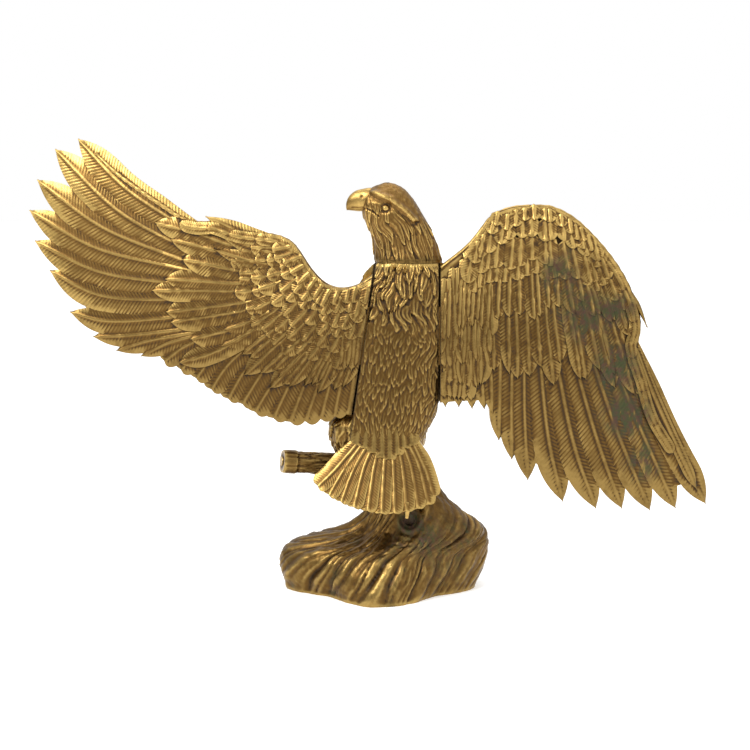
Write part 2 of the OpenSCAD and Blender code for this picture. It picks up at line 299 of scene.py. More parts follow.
class Wing:
    """Curved sheet that a wing's feathers lie on, as a function of X and Z."""

    def __init__(self, side):
        self.side = side

    def out(self, x, z):
        """Distance from the root, along the wing."""
        if self.side == "left":
            return (x + 12) * -WING_TURN[0] + (z - 160) * WING_TURN[1]
        return x - 33.3

    def middle(self, x, z):
        """Y of the sheet."""
        reach = np.maximum(self.out(x, z), 0)
        if self.side == "left":
            across = (x + 12) * WING_TURN[1] + (z - 160) * WING_TURN[0]
            return WING_MID_Y + 0.0006 * reach ** 2 + np.where(across > 0, 0.0022, 0.0009) * across ** 2
        return WING_MID_Y + 0.0006 * reach ** 2 + np.where(z > 150, 0.0019, 0.0007) * (z - 150) ** 2

    def half(self, x, z):
        """Half its thickness."""
        return (TIP_THICK + ROOT_EXTRA * np.exp(-(self.out(x, z) / ROOT_REACH) ** 2)) / 2


class Fan:
    """Sheet of even thickness that slopes with height and bends with X."""

    def __init__(self, y, slope, top, bend, centre, half):
        self.y, self.slope, self.top = y, slope, top
        self.bend, self.centre, self.thick = bend, centre, half

    def middle(self, x, z):
        """Y of the sheet."""
        return self.y - self.slope * (self.top - z) + self.bend * (x - self.centre) ** 2

    def half(self, x, z):
        """Half its thickness."""
        return np.full_like(x, self.thick)


def vane(t, length, width, tip, point):
    """Half width of a feather from its base, t = 0, to its tip, t = 1."""
    left = (1 - t) * length
    taper = (1 - np.clip(1 - left / tip, 0, 1) ** 2) ** point
    base = 0.72 + 0.28 * step(t, 0, 0.35)
    return np.maximum(width * base * taper, 0.3)


def feather(sheet, spine, width, *, tip=None, point=0.5, barb=BARB, groove=0.26, shaft=0.45, crown=0.6,
            base_lift=0.0, tip_lift=0.6, tilt=0.0, skin=None, across=11, rough=0.0, seed=0):
    """Closed blade along a spine of (x, z) points, with a shaft, barbs and rounded vanes.

    With skin the blade is a covert on the back (-1) or the front (+1) of the sheet; without it
    the blade is a flight feather, carved on both sides.
    """
    spine = np.array(spine, float)
    length = np.linalg.norm(np.diff(spine, axis=0), axis=1).sum()
    rows = max(int(length / barb * ROWS_PER_BARB), 9)
    line = spline(spine, rows)
    ahead = tangents(line)
    side = np.stack([-ahead[:, 1], ahead[:, 0]], 1)
    t = np.linspace(0, 1, rows)
    half = vane(t, length, width, tip or width * 2.1, point)
    s = np.linspace(-1, 1, across)
    s = np.sign(s) * np.abs(s) ** 1.15
    sweep = 0.62 * np.abs(s)[None, :] * half[:, None]
    place = (line[:, None] + side[:, None] * (s[None, :] * half[:, None])[..., None]
             + ahead[:, None] * sweep[..., None])
    wobble = noise(np.dstack([place, np.full(place.shape[:2], seed * 7.0)]), 3.0, seed)
    off = np.abs(s)[None, :] * half[:, None]
    deep = (np.arange(rows) % ROWS_PER_BARB == 0).astype(float)[:, None]
    barbs = -groove * deep * step(off, 0.7, 2.0) * (1 - 0.5 * step(np.abs(s), 0.9, 1))[None, :]
    barbs = barbs * (0.65 + 0.6 * wobble)
    ridge = shaft * bump(off, 0.75) - 0.6 * shaft * bump(off - 1.5, 0.6)
    rise = (base_lift + tip_lift * t[:, None] ** 1.3 + crown * (1 - np.abs(s) ** 2.2)[None, :]
            + tilt * s[None, :] + ridge * (1 - 0.6 * t[:, None]) + barbs + rough * wobble)
    x, z = place[..., 0], place[..., 1]
    middle = sheet.middle(x, z)
    if skin is None:
        core = sheet.half(x, z) - 0.6
        back = middle - core - rise
        front = middle + core + 0.8 * rise
    elif skin < 0:
        back = middle - sheet.half(x, z) - rise
        front = middle - sheet.half(x, z) + 1.4
    else:
        back = middle + sheet.half(x, z) - 1.4
        front = middle + sheet.half(x, z) + rise
    return slab(np.dstack([x, back, z]), np.dstack([x, front, z]))


class Flow:
    """Direction that the feathers point in, blended from a few listed places."""

    def __init__(self, *samples):
        self.places = np.array([s[:2] for s in samples], float)
        turn = np.radians([s[2] for s in samples])
        self.ways = np.stack([np.cos(turn), np.sin(turn)], 1)

    def at(self, p):
        """Unit direction at a point."""
        share = 1 / (np.sum((self.places - p) ** 2, axis=1) + 60.0) ** 1.5
        way = (self.ways * share[:, None]).sum(0)
        return way / np.linalg.norm(way)

    def run(self, start, length, steps=8):
        """Spine of a feather that leaves a point and follows the flow."""
        points = [np.array(start, float)]
        for _ in range(steps):
            points.append(points[-1] + self.at(points[-1]) * length / steps)
        return np.array(points)


def shingles(sheet, flow, rows, rng, skin=-1, **style):
    """Rows of overlapping coverts. Each row is (base line, count, length, width, lift)."""
    solids = []
    for k, (line, count, length, width, lift) in enumerate(rows):
        bases = spline(line, count * 2 + 1)[k % 2::2]
        for base in bases:
            base = base + rng.normal(0, 0.9, 2)
            solids.append(feather(
                sheet, flow.run(base, length * rng.uniform(0.8, 1.2)), width * rng.uniform(0.95, 1.25),
                base_lift=lift, skin=skin, seed=int(rng.integers(1 << 16)), **style))
    return solids


def plate(sheet, lead, trail, across=26, along=70, edge=3.0):
    """Solid under the feathers, between the leading edge and a line inside the feather tips."""
    a, b = spline(lead, along), spline(trail, along)
    v = np.linspace(0, 1, across)[None, :, None]
    place = a[:, None] * (1 - v) + b[:, None] * v
    x, z = place[..., 0], place[..., 1]
    inside = np.linalg.norm(place - a[:, None], axis=2)
    roll = np.sqrt(1 - (1 - np.clip(inside / edge, 0, 1)) ** 2)
    half = (sheet.half(x, z) - 0.4) * (0.25 + 0.75 * roll)
    middle = sheet.middle(x, z)
    return slab(np.dstack([x, middle - half, z]), np.dstack([x, middle + half, z]))


# Leading edges and feather guides in millimetres, as (x, z). A flight feather is
# its tip, a point on its shaft, its base and its half width.
LEFT_LEAD = [(-5, 202), (-14, 196), (-24, 194), (-33, 197), (-41, 205), (-47, 214), (-53, 221),
             (-63, 225), (-83, 227.5), (-97, 232), (-112, 233), (-128, 242), (-153, 259), (-168, 272)]
LEFT_TRAIL = [(-17.5, 122), (-30, 123), (-54, 119), (-80, 128), (-101, 138), (-128, 153),
              (-150, 157), (-168, 170), (-180, 188), (-188, 210), (-188, 232), (-181, 250),
              (-171, 266)]
LEFT_FLIGHT = [
    ((-20, 120), (-17, 138), (-14, 160), 7), ((-28, 119), (-24, 138), (-19, 160), 7.6),
    ((-36, 117), (-31, 136), (-25, 160), 8), ((-45, 115.5), (-38, 136), (-31, 160), 8.4),
    ((-54, 115), (-46, 136), (-37, 160), 8.6), ((-64, 117), (-54, 138), (-43, 161), 8.8),
    ((-75, 120.5), (-63, 140), (-50, 162), 8.8), ((-82.5, 125), (-71, 143), (-56, 163), 8.4),
    ((-91, 128), (-80, 146), (-64, 164), 8), ((-101, 133.5), (-90, 149), (-72, 165), 8),
    ((-110, 140), (-98, 154), (-80, 166), 7.6), ((-119, 145), (-106, 157), (-86, 167), 7.4),
    ((-129, 150), (-114, 160), (-92, 168), 7), ((-143, 152.5), (-125, 161), (-100, 168), 6.4),
    ((-158, 155.5), (-137, 162), (-106, 168), 6.8), ((-172, 163.5), (-148, 165), (-110, 170), 7),
    ((-186, 178), (-160, 173), (-112, 177), 8), ((-198, 202.5), (-165, 188), (-112, 186), 9),
    ((-207, 220), (-166, 202), (-112, 195), 9.4), ((-210, 238), (-168, 216), (-114, 204), 9.6),
    ((-205, 256), (-164, 228), (-112, 208), 9.8), ((-194, 274), (-155, 238), (-112, 215), 9.8),
    ((-180, 280), (-149, 250), (-104, 222), 9)]
LEFT_FLOW = Flow(
    (-150, 252, 142), (-165, 235, 145), (-175, 225, 152), (-165, 205, 163), (-160, 190, 168),
    (-155, 176, 178), (-145, 164, 184), (-92, 222, 158), (-92, 208, 162), (-92, 196, 178),
    (-92, 180, 190), (-110, 165, 190), (-48, 217, 200), (-68, 219, 178), (-54, 167, 222),
    (-71, 154, 224), (-87, 140, 222), (-40, 172, 226), (-29, 144, 245), (-16, 168, 250),
    (-12, 190, 262), (-24, 188, 256), (-38, 192, 235), (-20, 130, 258))

RIGHT_LEAD = [(33.6, 206), (50.5, 219.5), (63, 234.5), (71, 239), (79, 241), (90, 241.5),
              (101, 240.5), (115, 233), (131, 217), (143, 200), (150, 184), (153, 170), (151, 158),
              (157, 140), (165, 117), (178, 96), (187, 77)]
RIGHT_TRAIL = [(33.6, 127), (50, 128), (66, 126), (74, 109), (84, 96), (96, 86), (112, 79),
               (130, 74), (148, 73), (165, 71), (176, 72), (184, 74)]
RIGHT_FLIGHT = [
    ((37, 124.6), (37, 140), (37, 158), 4), ((45, 124.4), (44.5, 140), (44, 160), 4.2),
    ((52.8, 123.3), (52, 140), (51, 162), 4.4), ((60, 123), (58.5, 140), (57, 164), 4.6),
    ((65, 120), (64, 138), (63, 165), 5), ((69, 104), (69, 130), (69, 166), 6),
    ((77, 92), (76, 125), (76, 166), 7), ((87, 79), (84, 120), (83, 168), 8),
    ((108.5, 65), (98, 108), (91, 168), 9.5), ((129, 60), (113, 104), (99, 168), 10),
    ((145, 59.5), (127, 106), (108, 168), 9.5), ((162.5, 57.7), (140, 108), (118, 168), 9.5),
    ((178.5, 58.5), (153, 112), (128, 170), 9), ((197.5, 60.5), (169, 110), (140, 172), 8)]
RIGHT_FLOW = Flow(
    (40, 190, 268), (40, 150, 270), (55, 205, 262), (55, 150, 271), (70, 222, 262), (85, 228, 268),
    (100, 228, 274), (118, 220, 284), (135, 195, 292), (146, 172, 290), (152, 150, 290),
    (165, 110, 293), (180, 85, 296), (120, 180, 284), (120, 110, 286), (95, 190, 274),
    (90, 110, 274), (75, 150, 271), (60, 230, 250), (105, 150, 278), (140, 90, 290))


def flight(sheet, guides, blunt, **style):
    """Flight feathers, each from (tip, shaft point, base, half width), the first ones blunt."""
    return [feather(sheet, [base, middle, tip], width, tip=(1.7 if i < blunt else 3.8) * width,
                    point=0.5 if i < blunt else 1.05, seed=i, **style)
            for i, (tip, middle, base, width) in enumerate(guides)]


def inset(line, away, count=40):
    """A line moved sideways by a distance, to the right of its own direction."""
    points = spline(line, count)
    ahead = tangents(points)
    return points + np.stack([ahead[:, 1], -ahead[:, 0]], 1) * away


def bead(sheet, line, radius, depth=0.35):
    """Rounded rim along an edge of a wing."""
    points = spline(line, 40)
    x, z = points.T
    y = sheet.middle(x, z) - sheet.half(x, z) * depth
    return tube(np.stack([x, y, z], 1), [radius] * 4, 14, 120,
                relief=lambda t, a: 0.16 * np.cos(t * 260 + 2 * np.cos(a)))


def hairs(sheet, lines, width, rng, lift, **style):
    """Narrow body feathers, each along its own line."""
    return [feather(sheet, line, width * rng.uniform(0.85, 1.15), skin=-1,
                    base_lift=lift + rng.uniform(0, 0.4), seed=int(rng.integers(1 << 16)),
                    tip=9, point=1.2, barb=1.5, groove=0.2, shaft=0.3, crown=0.5, across=7,
                    tip_lift=0.4, **style)
            for line in lines]


SMALL = dict(barb=1.4, groove=0.24, shaft=0.4, crown=0.5, tip_lift=0.7, across=9, point=0.8, rough=0.25)


def left_wing():
    """Raised wing, less the room that the body takes."""
    sheet = Wing("left")
    rng = np.random.default_rng(11)
    solids = [plate(sheet, LEFT_LEAD, LEFT_TRAIL)]
    solids += flight(sheet, LEFT_FLIGHT, 13, tilt=0.3, across=13, tip_lift=0.15, rough=0.07, groove=0.26)
    primary = [([(-66, 174), (-66, 190), (-67, 204), (-68, 216)], 8, 58, 6.6, 0.2),
               ([(-36, 160), (-50, 165), (-60, 172), (-68, 182)], 9, 32, 5.8, 0.3),
               ([(-12, 167), (-20, 167), (-30, 165), (-38, 163)], 11, 33, 4.8, 0.2)]
    solids += shingles(sheet, LEFT_FLOW, primary, rng, tilt=0.25, tip_lift=0.3, point=1.0, tip=20, barb=1.7,
                       groove=0.24, rough=0.2)
    lesser = [([(-11, 169), (-28, 168), (-44, 172), (-58, 180), (-64, 198), (-66, 215)], 13, 20, 5.2, 0.5),
              ([(-10, 172), (-25, 172), (-40, 176), (-58, 184), (-66, 200), (-68, 214)], 11, 16, 5.4, 0.8),
              ([(-9, 179), (-25, 179), (-42, 185), (-56, 194), (-62, 205), (-62, 217)], 11, 14, 5.0, 1.2),
              ([(-8, 186), (-24, 184), (-40, 192), (-52, 202), (-56, 214)], 10, 13, 4.8, 1.6),
              ([(-7, 192), (-23, 189), (-36, 195), (-46, 205), (-51, 216)], 10, 12, 4.5, 2.0),
              ([(-7, 198), (-22, 193), (-34, 196), (-42, 204), (-48, 213), (-54, 219)], 11, 10, 4.2, 2.3)]
    solids += shingles(sheet, LEFT_FLOW, lesser, rng, **SMALL)
    alula = [[(-52, 217), (-75, 223), (-103, 235)], [(-54, 212), (-74, 217), (-95, 225)],
             [(-60, 207), (-78, 210), (-98, 216)]]
    solids += [feather(sheet, a, 5.4, skin=-1, base_lift=1.0, tip_lift=0.2, tip=30, point=1.1, tilt=0.2)
               for a in alula]
    solids += [bead(sheet, inset(LEFT_LEAD, -1.4), 1.5)]
    solids += [feather(sheet, inset(LEFT_LEAD, -4.0)[k:k + 9], 3.6, skin=-1, base_lift=1.5, **SMALL)
               for k in range(0, 21, 3)]
    down = [[(x, 172 + 4 * (i % 3)), (x - 1.2, 158), (x - 2.6, 146 + 3 * (i % 2))]
            for i, x in enumerate(np.linspace(-11, -22, 6))]
    solids += hairs(sheet, down, 3.0, rng, 0.6)
    front = [([(-66, 180), (-66, 198), (-66, 214)], 6, 56, 9, 0.3),
             ([(-12, 160), (-30, 156), (-50, 160), (-66, 172)], 8, 28, 7, 0.3),
             ([(-12, 182), (-30, 180), (-48, 190), (-58, 206)], 8, 24, 6.5, 0.6)]
    solids += shingles(sheet, LEFT_FLOW, front, rng, skin=1, across=7)
    return solids, [block((-18.1 - 39 * SEAM_LEAN, -60, 80), (60, 60, 230), 150 * SEAM_LEAN)]


def right_wing():
    """Arched and drooping wing, less the room that the body takes."""
    sheet = Wing("right")
    rng = np.random.default_rng(23)
    solids = [plate(sheet, RIGHT_LEAD, RIGHT_TRAIL)]
    solids += flight(sheet, RIGHT_FLIGHT, 0, tilt=-0.3, across=11, barb=2.4, tip_lift=0.15, rough=0.07,
                     groove=0.24)
    greater = [([(62, 188), (80, 192), (100, 194), (120, 190), (136, 180)], 14, 50, 5.4, 0.2),
               ([(35, 178), (48, 182), (62, 186)], 6, 40, 3.6, 0.2)]
    solids += shingles(sheet, RIGHT_FLOW, greater, rng, tilt=-0.25, tip_lift=0.3, point=1.0, tip=20,
                       barb=2.0, groove=0.22, rough=0.2)
    median = [([(60, 206), (78, 211), (98, 213), (118, 208), (138, 193)], 16, 31, 4.6, 0.6),
              ([(36, 192), (48, 198), (60, 204)], 7, 26, 3.2, 0.6)]
    solids += shingles(sheet, RIGHT_FLOW, median, rng, tilt=-0.25, tip_lift=0.5, barb=1.8, groove=0.2,
                       point=0.9, tip=14, rough=0.2)
    lesser = [([(54, 208), (66, 214), (82, 217), (100, 218), (118, 213), (136, 198)], 17, 18, 4.8, 0.9),
              ([(50, 212), (64, 220), (80, 224), (100, 224), (118, 216), (134, 202)], 15, 17, 5.0, 1.3),
              ([(56, 221), (70, 232), (86, 235), (102, 234), (116, 226), (128, 214)], 14, 13, 4.6, 1.8),
              ([(62, 231), (74, 238), (90, 240), (102, 238), (114, 231), (127, 219)], 14, 9, 4.2, 2.2)]
    solids += shingles(sheet, RIGHT_FLOW, lesser, rng, **SMALL)
    rows = [(36, 200, 22), (41, 206, 22), (47, 211, 20), (36, 186, 22), (42, 190, 24), (49, 196, 24),
            (36, 170, 22), (42, 172, 22), (48, 174, 24), (54, 176, 24), (60, 180, 24), (39, 158, 20),
            (45, 158, 20), (51, 158, 22), (57, 160, 22), (37, 146, 16), (43, 145, 16), (49, 144, 16),
            (55, 206, 22), (57, 196, 26), (61, 196, 30), (36, 178, 22), (40, 181, 24)]
    down = [[(x, z), (x + rng.normal(0, 0.7), z - 0.5 * n), (x + rng.normal(0, 1.4), z - n)]
            for x, z, n in rows for x in (x, x + 2.6)]
    solids += hairs(sheet, down, 3.1, rng, 0.3)
    solids += [bead(sheet, inset(RIGHT_LEAD, 1.4), 1.6)]
    solids += [feather(sheet, inset(RIGHT_LEAD, 4.2)[k:k + 8], 3.4, skin=-1, base_lift=1.3, **SMALL)
               for k in range(2, 30, 3)]
    edge = [[(146, 190), (152, 180), (156.5, 170)], [(150, 158), (164, 124), (191, 70)]]
    solids += [feather(sheet, e, 3.4, skin=-1, base_lift=0.3, tip=e[2][1] / 4, point=1.2, across=9)
               for e in edge]
    front = [([(60, 190), (80, 196), (104, 196), (126, 188)], 9, 60, 8.5, 0.3),
             ([(36, 185), (50, 195), (62, 205)], 5, 45, 6.5, 0.3),
             ([(60, 218), (80, 226), (104, 226), (124, 214)], 9, 32, 7, 0.6)]
    solids += shingles(sheet, RIGHT_FLOW, front, rng, skin=1, across=7)
    return solids, [block((-40, -60, 80), (33.9, 60, 250))]


# ---- body, head, legs and stump

TORSO_LEFT = [(98, -17), (106, -22), (118, -25), (135, -26), (160, -23), (180, -19), (196, -13), (208, -5)]
TORSO_RIGHT = [(98, 20), (106, 25), (118, 32), (135, 38), (160, 42), (180, 43), (196, 41), (208, 36.5)]
TORSO_BACK = [(98, -24), (110, -25), (135, -24), (165, -22), (190, -21), (208, -17)]
TORSO_BREAST = [(98, 2), (106, 10), (118, 16), (135, 21), (160, 25), (180, 24), (196, 20), (208, 14)]


def loft(levels, left, right, near, far, columns, power=2.0):
    """Grid of rings (rows, columns, 3): limits to the four sides at each height."""
    a = circle(columns)
    c = np.sign(np.cos(a)) * np.abs(np.cos(a)) ** (2 / power)
    s = np.sign(np.sin(a)) * np.abs(np.sin(a)) ** (2 / power)
    xl, xr, y0, y1 = (ease(levels, table)[:, None] for table in (left, right, near, far))
    x = (xl + xr) / 2 + (xr - xl) / 2 * c
    y = (y0 + y1) / 2 + (y1 - y0) / 2 * s
    return np.dstack([x, y, np.broadcast_to(np.asarray(levels)[:, None], x.shape)])


def even_rings(rings):
    """The same rings with their points spaced evenly round."""
    out = []
    for ring in rings:
        loop = np.vstack([ring, ring[:1]])
        along = np.concatenate([[0], np.cumsum(np.linalg.norm(np.diff(loop, axis=0), axis=1))])
        wanted = np.linspace(0, along[-1], len(ring), endpoint=False)
        out.append(np.stack([np.interp(wanted, along, loop[:, k]) for k in range(3)], 1))
    return np.array(out)


def normals_of(rings):
    """Outward direction at each point of a stack of rings."""
    up = np.gradient(rings, axis=0)
    sideways = np.roll(rings, -1, axis=1) - np.roll(rings, 1, axis=1)
    n = np.cross(sideways, up)
    n /= np.maximum(np.linalg.norm(n, axis=2, keepdims=True), 1e-9)
    return n if np.sum(n[..., :2] * (rings - rings.mean(1, keepdims=True))[..., :2]) > 0 else -n


def tufts(sideways, down, cell_w, cell_l, cells, seed, overlap=1.7, lean=0.5, strands=3.0):
    """Height of small overlapping feathers, in cells that repeat round the body."""
    best = np.zeros_like(down)
    row0 = np.floor(down / cell_l)
    for back in range(3):
        row = row0 - back
        shift = 0.5 * (row % 2) + 0.37 * lattice(np.stack([row, row, row], -1), seed + 9)
        for aside in (-1, 0, 1):
            column = np.floor(sideways / cell_w - shift) + aside
            key = np.stack([column % cells, row, np.zeros_like(row)], -1)
            r1, r2, r3 = (lattice(key, seed + k) for k in range(3))
            a = (down / cell_l - row - 0.6 * r1) / (overlap * (0.75 + 0.5 * r2))
            b = (sideways / cell_w - shift - column - 0.5 - 0.25 * (r2 - 0.5)) - lean * (r3 - 0.5) * a
            half = (0.5 + 0.25 * r3) * np.clip(1 - np.clip(a, 0, 1) ** 2.2, 0, 1) ** 0.7 + 1e-3
            inside = (a > 0) & (a < 1) & (np.abs(b) < half)
            k = b / half
            hair = 0.5 + 0.5 * np.cos(strands * np.pi * k + 2.0 * a * (r1 - 0.5))
            rise = 0.25 + 0.75 * a - 0.35 * k ** 2 - 0.22 * hair * step(a, 0.1, 0.5)
            best = np.where(inside & (rise > best), rise, best)
    return best


def feathered(rings, cells, cell_l, depth, seed, **style):
    """Rings with tufts of feathers raised on them, pointing down."""
    rows, columns, _ = rings.shape
    sideways = np.arange(columns)[None, :] / columns * cells + 0.75 * noise(rings, 10.0, seed)
    down = -rings[..., 2] + 3.0 * noise(rings + 50, 8.0, seed + 1)
    height = tufts(sideways, down, 1.0, cell_l, cells, seed, **style)
    fine = noise(rings * [1, 1, 0.35], 0.9, seed + 2)
    edge = np.minimum(np.arange(rows), np.arange(rows)[::-1])[:, None]
    fade = np.clip(edge / 2, 0.3, 1)[..., None]
    return rings + normals_of(rings) * ((height - 0.45) * depth + 0.12 * fine)[..., None] * fade


def torso():
    """Feathered body, less the bays and the pockets of the two wings."""
    levels = np.linspace(98, 208, 180)
    rings = even_rings(loft(levels, TORSO_LEFT, TORSO_RIGHT, TORSO_BACK, TORSO_BREAST, 380, 2.4))
    share = 0.6 + 0.4 * np.sqrt(1 - np.clip((105 - levels) / 7.5, 0, 1) ** 2)
    share = share - 0.07 * step(levels, 203, 208.5)
    middle = rings.mean(1, keepdims=True)
    rings = middle + (rings - middle) * share[:, None, None]
    shaggy = feathered(rings, 30, 6.5, 2.3, 5, overlap=2.0, lean=1.0)
    combed = feathered(rings, 44, 4.2, 1.1, 6, overlap=2.4, lean=0.6, strands=2.0)
    upper = step(levels, 158, 184)[:, None, None]
    body = drum(shaggy * upper + combed * (1 - upper))
    left = block((-90, -60, 88), (-17.0 - 31 * SEAM_LEAN, 1.2, 216), 128 * SEAM_LEAN)
    right = block((32.8, -60, 88), (90, 1.2, 216))
    pockets = []
    for node in ("left_wing_tongue", "right_wing_tongue"):
        low, high = (np.array(corner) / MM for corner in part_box(node))
        low[2] -= BIRD_Z
        high[2] -= BIRD_Z
        pockets.append(block(low - 0.3, high + 0.3))
    return [body] + edge_coverts(), [left, right] + pockets


def edge_coverts():
    """Ragged feathers of the lower back that lie over the root of the tail."""
    sheet = Fan(-22.5, 0.12, 112, 0.012, 2, 1.6)
    rng = np.random.default_rng(3)
    solids = []
    for x, low in ((-15, 103), (-10, 101.5), (-5, 99), (0, 96.5), (4.5, 95.5), (9, 98), (13, 101.5),
                   (18, 103)):
        solids.append(feather(sheet, [(x * 0.86, 116), (x * 0.95, 109), (x, low)], 4.2, skin=-1,
                              barb=1.6, groove=0.3, crown=0.7, across=9, tip=5, tip_lift=0.7,
                              seed=int(rng.integers(99))))
    return solids


TAIL_RIM = [(-37.5, 80), (-31, 75.5), (-24, 72), (-16.5, 69.3), (-8.5, 67.5), (-0.5, 66.3), (7, 66.3),
            (14, 67.3), (20.5, 68.5), (26.5, 70.5), (29.5, 75)]


def tail():
    """Tail fan of ridged feathers, with its lug."""
    sheet = Fan(-20, 0.42, 106, 0.003, 0, 1.9)
    solids = [plate(sheet, [(-15, 104), (-24, 92), (-33, 83)], [(18, 104), (24, 90), (28, 79)], along=30)]
    for i, tip in enumerate(TAIL_RIM):
        share = i / (len(TAIL_RIM) - 1)
        base = (-13 + 30 * share, 106)
        middle = (0.55 * tip[0] + 0.45 * base[0] * 1.1, 90)
        solids.append(feather(sheet, [base, middle, tip], 5.4, tip=7.5, barb=1.5, groove=0.28, shaft=0.6,
                              crown=0.6, tilt=0.7, tip_lift=0.7, across=15, rough=0.15, seed=i))
    solids.append(tube([(14.5, -35.6, 72), (14.5, -36.2, 66), (14.2, -35.6, 62.5)], [1.2, 1.5, 1.0], 16))
    return solids, []


HEAD_LEFT = [(206, -5), (214, -5), (221, -5.5), (227, -7.5), (233, -10.5), (240, -12), (246, -12),
             (250, -9.5), (254.6, -1)]
HEAD_RIGHT = [(206, 36.5), (214, 33.5), (221, 31.5), (227, 29), (233, 25.5), (240, 21.5), (246, 17.5),
              (250, 14.5), (254.6, 8)]
HEAD_NEAR = [(206, -17.5), (214, -15), (221, -14), (233, -13), (240, -12.5), (246, -11), (250, -8.5),
             (254.6, -3)]
HEAD_FAR = [(z, -2 - y) for z, y in HEAD_NEAR]
BROW = [(-7.5, 250.5), (-4, 248.6), (1, 246.2), (5.5, 244), (13, 238.3), (18, 233)]
GAPE = [(-17.5, 240.2), (-11, 240), (-6, 238.2), (-2.5, 235.4)]
EYE = (1.8, 240.2)


def from_line(x, z, line):
    """Distance from (x, z) to a line of points, and how far above it the point lies."""
    points = spline(line, 40)
    d = np.sqrt((x[..., None] - points[:, 0]) ** 2 + (z[..., None] - points[:, 1]) ** 2)
    nearest = d.argmin(-1)
    return d.min(-1), z - points[nearest, 1]


def face(x, z):
    """Relief of the bird's face over both cheeks."""
    brow, above = from_line(x, z, BROW)
    gape, _ = from_line(x, z, GAPE)
    eye = np.hypot(x - EYE[0], (z - EYE[1]) * 1.15)
    height = 1.7 * bump(brow, 2.2) - 1.2 * bump(brow - 2.0, 1.8) * step(-above, 0, 1)
    height += 1.0 * np.sqrt(np.clip(1 - (eye / 2.0) ** 2, 0, 1)) - 0.5 * bump(eye - 2.7, 0.9)
    height -= 0.9 * bump(gape, 0.6) * (x < 1)
    height -= 0.8 * bump(np.hypot(x + 11.6, z - 246.2), 0.9)
    height -= 0.6 * bump(x + 9.8 + 0.15 * (z - 245), 0.55) * (z > 239)
    height += 0.5 * bump(np.hypot(x - 6, z - 234), 5.0)
    return height


def head():
    """Head and neck with the face, and the beak."""
    levels = 208.2 + 46.4 * np.sin(np.linspace(0, np.pi / 2, 150))
    rings = even_rings(loft(levels, HEAD_LEFT, HEAD_RIGHT, HEAD_NEAR, HEAD_FAR, 300))
    dome = np.sqrt(1 - np.clip((levels - 251) / 3.61, 0, 1) ** 2)[:, None, None]
    middle = rings.mean(1, keepdims=True)
    rings = middle + (rings - middle) * np.maximum(dome, 0.02)
    x, z = rings[..., 0], rings[..., 2]
    streaks = feathered(rings, 24, 9.0, 1.5, 8, overlap=1.9, lean=1.2, strands=2.0) - rings
    smooth = step(z + 0.35 * (x - 4), 231, 243)
    cheeks = step(np.abs(rings[..., 1] + 1), 3, 8)
    relief = face(x, z) * cheeks + 0.18 * noise(rings, 1.8, 4) * smooth
    relief -= 0.5 * bump(z - 208.6, 0.9)
    n = normals_of(rings)
    skull = drum(rings + streaks * (1 - 0.85 * smooth)[..., None] + n * relief[..., None])
    sections = spline([(-4, 246, 5.6, 5.6), (-8, 244.8, 6.8, 5.4), (-11, 244.5, 6.6, 4.8),
                       (-14.5, 244.0, 6.1, 4.0), (-17.3, 243.1, 4.9, 3.1), (-19.2, 242.0, 3.6, 2.2),
                       (-20.5, 240.6, 2.0, 1.3), (-20.9, 239.2, 0.7, 0.5)], 50)
    a = circle(48)
    cx, cz, tall, deep = (sections[:, k][:, None] for k in range(4))
    tilt = np.clip((-cx - 12) / 9, 0, 1) * 0.6
    bx = cx + 0 * a - tall * np.sin(a) * np.sin(tilt) * 0.5
    beak = np.dstack([bx, -1 - deep * np.cos(a), cz + tall * np.sin(a)])
    under = from_line(beak[..., 0], beak[..., 2], GAPE)[0]
    shrink = 0.5 * bump(under, 0.55) + 0.6 * bump(np.hypot(beak[..., 0] + 11.8, beak[..., 2] - 246.6), 0.8)
    beak[..., 1] = -1 + (beak[..., 1] + 1) * (1 - shrink / np.maximum(deep, 0.6) * 0.8)
    return [skull, drum(beak)], []


def talon(start, way, size=7.0):
    """Curved claw that leaves a toe tip."""
    path = [start - way, start + way * size * 0.35 + [0, 0, 0.6], start + way * size * 0.75 + [0, 0, -1.2],
            start + way * size * 0.9 + [0, 0, -4.2]]
    return tube(path, [1.7, 1.5, 0.9, 0.25], 14, 14)


def toe(foot, angle, grip, top):
    """Scaly toe that curls over a perch of radius grip, ending in a claw."""
    a = math.radians(angle)
    way = np.array([math.cos(a), math.sin(a), 0.0])
    reach = 17.0
    path = []
    for t in np.linspace(0, 1, 7):
        turn = reach * t / (grip + 2.6)
        out = grip + 2.7 - 1.1 * t
        path.append(np.array([foot[0], foot[1], top]) + way * out * math.sin(turn)
                    + np.array([0, 0, out * math.cos(turn) - grip]))
    ahead = tangents(np.array(path))[-1]

    def knuckles(t, turn):
        """Joints along the toe, and scales on its top."""
        return 0.35 * np.abs(np.sin(t * np.pi * 4.5)) + 0.12 * np.cos(t * np.pi * 26) * (np.sin(turn) > 0)

    solid = tube(path, [3.6, 3.2, 2.9, 2.6, 2.4, 2.2, 1.9], 20, 44, relief=knuckles)
    return [solid, talon(path[-1], ahead)]


THIGH_R = [(90, 6.0), (95, 9.5), (100, 12), (106, 13), (112, 13), (120, 11)]


